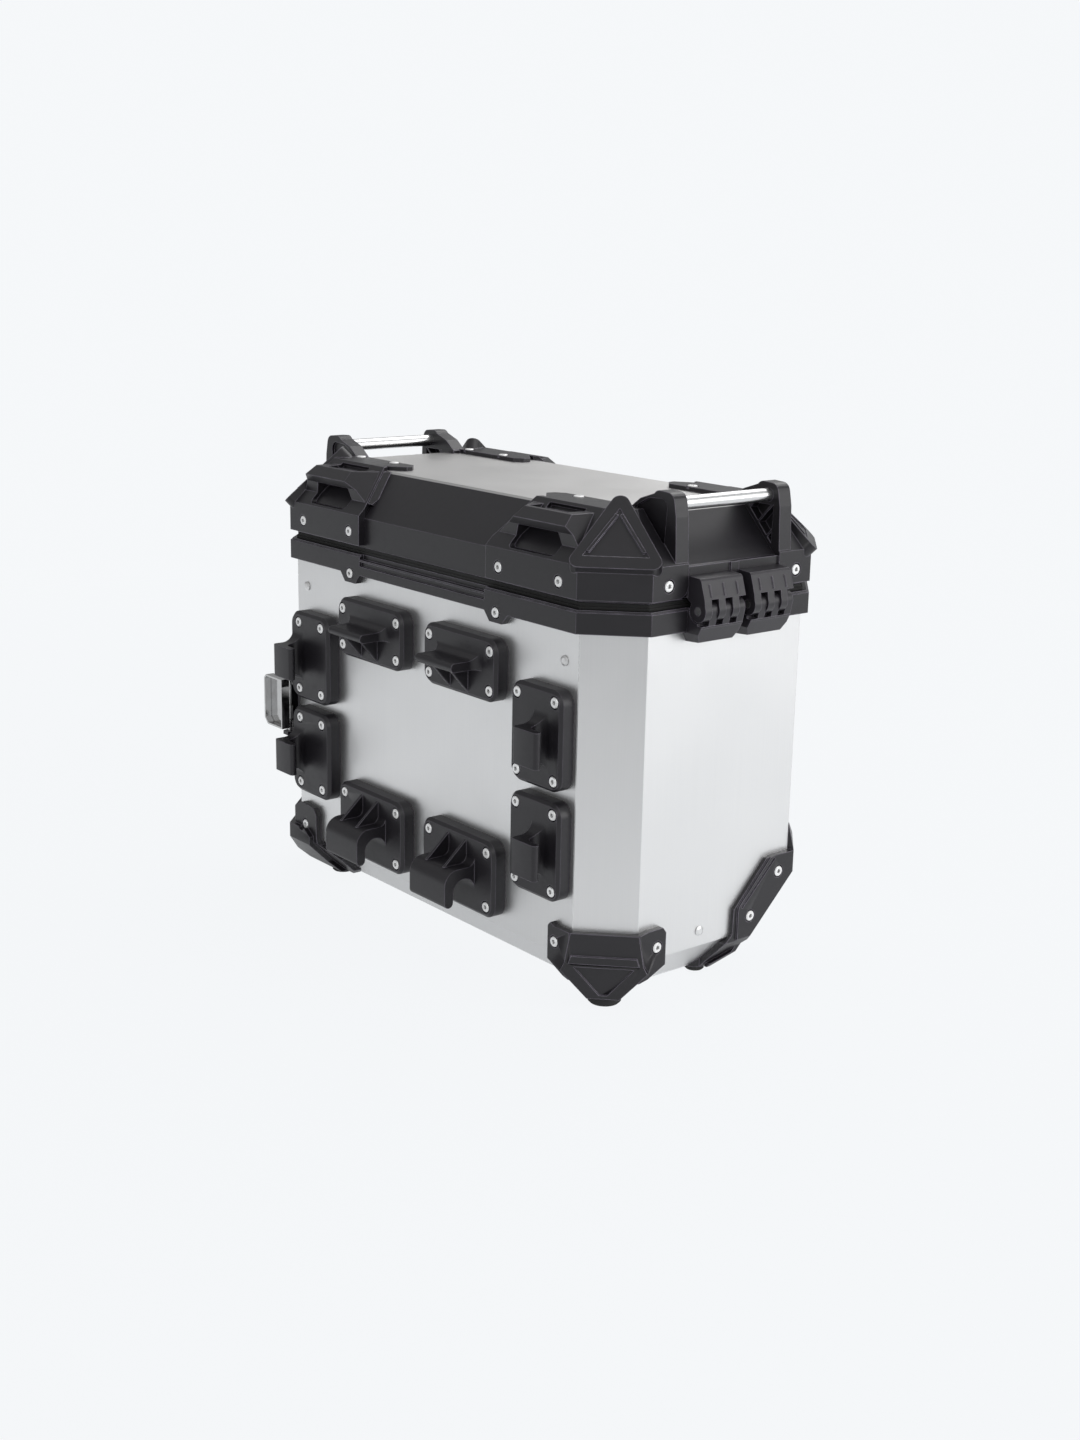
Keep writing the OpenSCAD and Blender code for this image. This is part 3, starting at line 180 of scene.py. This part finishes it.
def moulded(name, level, rough, painted_highlight_level, radius=1.0 * MM):
    """Moulded plastic: fine spark-eroded grain, soft flow marks, edges a little glossier with a painted
    highlight along them, and painted shade in tight corners.
    """
    s = Shader(name, rough)
    grain = 2600.0  # cells per metre
    cells = s.node("TexVoronoi", {"Vector": s.place, "Scale": grain}, feature="SMOOTH_F1").outputs[0]
    pits = s.noise(grain * 0.8, 3.0)
    flow = s.noise(14.0, 3.0, (1.0, 1.0, 2.4))
    dust = s.noise(190.0, 5.0)
    normal, edge = s.edges(radius)
    # Painted highlight along sharp edges, made patchy by noise; the colour is lightened there
    painted_edge_highlight = s.math("MULTIPLY", edge, s.spread(s.noise(75.0, 4.0), 0.32, 0.62, 0.5, 1.0))
    tone = s.mix(s.spread(flow, 0.3, 0.7, 0.0, 1.0), ink(level * 0.9), ink(level * 1.12))
    tone = s.mix(s.spread(dust, 0.6, 0.8, 0.0, 0.12), tone, ink(level * 1.9))
    tone = s.mix(painted_edge_highlight, tone, ink(painted_highlight_level))
    # Painted shade: the colour is darkened in tight corners and recesses
    tone = s.mix(s.math("MULTIPLY", s.hollow_shade_mask(2.5 * MM), 0.35), tone, ink(level * 0.3))
    flows = s.spread(flow, 0.3, 0.7, rough - 0.03, rough + 0.04)
    r = s.math("ADD", flows, s.spread(dust, 0.5, 0.8, 0.0, 0.08))
    r = s.math("SUBTRACT", r, s.math("MULTIPLY", edge, 0.08))
    return s.finish(tone, r, s.math("ADD", cells, pits), 12e-6, normal)


def rubber(name, level):
    """Moulded rubber: matt, with a fine pebbled skin and dusty patches."""
    s = Shader(name, 0.75)
    pebble = s.noise(1500.0, 4.0)
    patch = s.noise(60.0, 4.0)
    normal, edge = s.edges(0.8 * MM)
    tone = s.mix(s.spread(patch, 0.4, 0.75, 0.0, 0.5), grey(level), grey(level * 2.2, 0.03))
    # Painted highlight: the colour is lightened along sharp edges
    tone = s.mix(s.math("MULTIPLY", edge, 0.5), tone, grey(level * 2.4))
    return s.finish(tone, s.spread(patch, 0.3, 0.7, 0.66, 0.84), pebble, 25e-6, normal)


def steel(name, level, rough, turned=900.0, metallic=1.0):
    """Bright machined metal: fine tool marks at the scale turned, handling marks, a painted highlight
    along the edges and painted shade in sockets.
    """
    s = Shader(name, rough, metallic)
    marks = s.noise(1.0, 3.0, (turned, turned, turned * 0.35))
    stain = s.noise(120.0, 4.0)
    normal, edge = s.edges(0.3 * MM)
    tone = s.mix(s.spread(stain, 0.45, 0.75, 0.0, 0.5), grey(level), grey(level * 0.78, 0.03))
    # Painted highlight: the colour is lightened along sharp edges
    tone = s.mix(s.math("MULTIPLY", edge, 0.6), tone, grey(min(1.0, level * 1.15)))
    # Painted shade: the colour is darkened nearly to black in sockets and tight corners
    tone = s.mix(s.math("MULTIPLY", s.hollow_shade_mask(1.5 * MM), 0.93), tone, grey(0.02))
    return s.finish(tone, s.spread(stain, 0.3, 0.75, rough - 0.05, rough + 0.12), marks, 4e-6, normal)


# How each material slot is finished: levels and roughnesses from 0 to 1, radii in metres
FINISHES = {
    "brushed_sheet": (brushed, dict(
        level=0.80, rough=0.36, grain=(1900.0, 1900.0, 9.0), groove=1e-6, painted_highlight_strength=0.25, radius=0.9 * MM,
    )),
    "inner_aluminium": (brushed, dict(level=0.68, rough=0.42, grain=(12.0, 12.0, 1200.0))),
    "lid_plate": (brushed, dict(
        level=0.63, rough=0.42, grain=(9.0, 1700.0, 9.0), warmth=0.01, painted_highlight_strength=0.0, radius=0.02 * MM,
    )),
    "moulding": (moulded, dict(level=0.0125, rough=0.33, painted_highlight_level=0.24)),
    "fitting_plastic": (moulded, dict(level=0.020, rough=0.34, painted_highlight_level=0.20, radius=0.7 * MM)),
    "panel_plastic": (moulded, dict(level=0.013, rough=0.36, painted_highlight_level=0.38, radius=0.7 * MM)),
    "hook_plastic": (moulded, dict(level=0.0145, rough=0.36, painted_highlight_level=0.17)),
    "seal_rubber": (rubber, dict(level=0.012)),
    "foot_rubber": (rubber, dict(level=0.016)),
    "bar_aluminium": (brushed, dict(level=0.72, rough=0.27, grain=(1500.0, 14.0, 1500.0))),
    "screw_steel": (steel, dict(level=0.93, rough=0.42, metallic=0.7)),
    "plain_steel": (steel, dict(level=0.72, rough=0.30)),
    "rivet_aluminium": (steel, dict(level=0.80, rough=0.36, turned=500.0)),
    "polished_steel": (steel, dict(level=0.58, rough=0.07, turned=260.0)),
}
MATERIALS = {slot: make(slot, **look) for slot, (make, look) in FINISHES.items()}

# ---------------------------------------------------------------- finished pieces


def dress(obj, slot):
    """Give every face of obj the material of that slot."""
    obj.data.materials.clear()
    obj.data.materials.append(MATERIALS[slot])


WELD = 2e-6  # distance at which two vertices of a CAD mesh are one
FLAT = math.radians(0.8)  # faces that meet at less than this are one face
CORNER = math.radians(28.0)  # edges sharper than this are rounded


def rounded_copy(node, width):
    """A copy of a CAD node with its edges rounded by width, which stands for the node."""
    mesh = bpy.data.meshes.new(node + "_finished")
    work = bmesh.new()
    work.from_mesh(frame["nodes"][node].data)
    bmesh.ops.remove_doubles(work, verts=work.verts, dist=WELD)
    bmesh.ops.dissolve_limit(work, verts=work.verts, edges=work.edges, angle_limit=FLAT)
    work.to_mesh(mesh)
    work.free()
    for p in mesh.polygons:
        p.use_smooth = True
    mesh.set_sharp_from_angle(angle=CORNER)
    obj = bpy.data.objects.new(node + "_finished", mesh)
    bpy.context.scene.collection.objects.link(obj)
    bevel = obj.modifiers.new("edge", "BEVEL")
    bevel.width = width
    bevel.segments = 2
    bevel.limit_method = "ANGLE"
    bevel.angle_limit = CORNER
    bevel.harden_normals = True
    bevel.use_clamp_overlap = True
    slot = slot_of[node]
    dress(obj, slot)
    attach(obj, body_of[node])
    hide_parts(node)


# Edge radius in mm for nodes whose names start so
ROUNDING = {
    "hook_lower_": 0.9, "hook_upper_": 0.9, "hook_side_": 0.9, "protector_r": 0.8,
    "latch_lever": 1.0, "latch_housing": 0.8, "latch_keeper": 0.8,
}

for name, obj in sorted(frame["nodes"].items()):
    width = next((w for start, w in ROUNDING.items() if name.startswith(start)), None)
    if width:
        rounded_copy(name, width * MM)
    else:
        dress(obj, slot_of[name])

# ---------------------------------------------------------------- floor, light and camera

PALE = (0.918, 0.935, 0.952, 1)  # the backdrop's colour
FLOOR_REACH = 30.0  # metres from the middle of the floor to its sides
FLOOR_GAP = 0.0002  # metres between the floor and the feet
CAMERA_SIDE = (0.63, -0.77, 0.0)  # from the case towards the camera, along the floor
GLOW_SHARE = 0.42  # share of the floor's light that is its own glow
LIGHTS_AIM = Vector((0, 0, 0.2))  # the point that the lights face
SKY_COLOUR = (0.98, 0.99, 1.0, 1)
SKY_LEAN = (0.22, 0.02, 0.10)  # how fast the sky's strength grows along each axis
SKY_LEVEL = 0.50  # the sky's strength level with the case
TURN, TILT, ROLL = math.radians(50.93), math.radians(14.713), math.radians(1.089)  # of the camera
CAMERA_PLACE = (1.1332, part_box("rack_panel")[0].y - 0.8028, 0.5418)
FOCAL_LENGTH, SENSOR_HEIGHT = 45.53, 36.0  # mm


def floor_paper():
    """Pale paper that also glows, so that the floor and the backdrop meet without a horizon."""
    paper = Shader("floor_paper", 0.9)
    fibre = paper.noise(60.0, 4.0)
    fibres = paper.spread(fibre, 0.3, 0.7, 0.0, 1.0)
    paper.finish(paper.mix(fibres, (0.86, 0.875, 0.89, 1), (0.88, 0.895, 0.91, 1)), None, fibre, 1e-4)
    camera_ray = paper.node("LightPath").outputs["Is Camera Ray"]

    # The light that the case gets from the floor fades towards the camera's side
    ahead = paper.node("VectorMath", {0: paper.place, 1: CAMERA_SIDE}, operation="DOT_PRODUCT")
    fade = paper.spread(ahead.outputs["Value"], 0.25, 1.15, 1.0, 0.30)
    strength = paper.math("MAXIMUM", fade, camera_ray)
    glow = paper.node("Emission", {"Color": PALE, "Strength": strength})

    # To the camera the glow takes over, nearly all of it by the case and all of it further away
    away = paper.node("VectorMath", {0: paper.place}, operation="LENGTH").outputs["Value"]
    takeover = paper.spread(away, 0.5, 1.6, 0.96 - GLOW_SHARE, 1.0 - GLOW_SHARE)
    share = paper.math("MULTIPLY_ADD", camera_ray, takeover, GLOW_SHARE)
    blend = paper.node("MixShader", {0: share, 1: paper.surface.outputs[0], 2: glow.outputs[0]})
    paper.links.new(blend.outputs[0], paper.nodes["Material Output"].inputs["Surface"])
    return paper.material


def area_light(name, place, size, watts):
    """A soft rectangular light at place, facing the case; size is width and height in metres."""
    data = bpy.data.lights.new(name, "AREA")
    data.shape = "RECTANGLE"
    data.size, data.size_y = size
    data.energy = watts
    obj = bpy.data.objects.new(name, data)
    obj.location = place
    obj.rotation_euler = (LIGHTS_AIM - Vector(place)).to_track_quat("-Z", "Y").to_euler()
    bpy.context.scene.collection.objects.link(obj)


def studio_world():
    """World light, brighter overhead and to the right so that flat faces differ; the camera sees PALE."""
    world = bpy.data.worlds.new("studio")
    world.use_nodes = True
    nodes, links = world.node_tree.nodes, world.node_tree.links
    lean = nodes.new("ShaderNodeVectorMath")
    lean.operation = "DOT_PRODUCT"
    lean.inputs[1].default_value = SKY_LEAN
    links.new(nodes.new("ShaderNodeTexCoord").outputs["Generated"], lean.inputs[0])
    strength = nodes.new("ShaderNodeMath")
    strength.inputs[1].default_value = SKY_LEVEL
    links.new(lean.outputs["Value"], strength.inputs[0])
    sky = nodes["Background"]
    sky.inputs["Color"].default_value = SKY_COLOUR
    links.new(strength.outputs[0], sky.inputs["Strength"])
    backdrop = nodes.new("ShaderNodeBackground")
    backdrop.inputs["Color"].default_value = PALE
    which = nodes.new("ShaderNodeMixShader")
    links.new(nodes.new("ShaderNodeLightPath").outputs["Is Camera Ray"], which.inputs[0])
    links.new(sky.outputs[0], which.inputs[1])
    links.new(backdrop.outputs[0], which.inputs[2])
    links.new(which.outputs[0], nodes["World Output"].inputs[0])
    return world


def photo_camera():
    """The photograph's camera, which looks at the rack-side corner at the hinge end."""
    ahead = Vector((-math.sin(TURN) * math.cos(TILT), math.cos(TURN) * math.cos(TILT), -math.sin(TILT)))
    level_right = Vector((math.cos(TURN), math.sin(TURN), 0))
    level_up = level_right.cross(ahead)
    right = math.cos(ROLL) * level_right + math.sin(ROLL) * level_up
    up = math.cos(ROLL) * level_up - math.sin(ROLL) * level_right
    data = bpy.data.cameras.new("camera")
    data.sensor_fit = "VERTICAL"
    data.sensor_height = SENSOR_HEIGHT
    data.lens = FOCAL_LENGTH
    camera = bpy.data.objects.new("camera", data)
    facing = Matrix((right, up, -ahead)).transposed()
    camera.matrix_world = Matrix.Translation(CAMERA_PLACE) @ facing.to_4x4()
    bpy.context.scene.collection.objects.link(camera)
    return camera


floor_mesh = bpy.data.meshes.new("floor")
corners = [(x * FLOOR_REACH, y * FLOOR_REACH, 0) for x, y in ((-1, -1), (1, -1), (1, 1), (-1, 1))]
floor_mesh.from_pydata(corners, [], [(0, 1, 2, 3)])
floor_mesh.materials.append(floor_paper())
floor = bpy.data.objects.new("floor", floor_mesh)
floor.location.z = cad_box[0][2] - FLOOR_GAP
bpy.context.scene.collection.objects.link(floor)

area_light("top_panel", (-0.3, 0.9, 1.6), (1.3, 1.5), 13)
area_light("right_panel", (2.3, 1.1, 0.9), (1.8, 1.6), 20)
area_light("front_strip", (1.2, -2.2, 1.3), (0.5, 1.4), 5)

bpy.context.scene.world = studio_world()
bpy.context.scene.camera = photo_camera()
bpy.context.scene.view_settings.view_transform = "Standard"
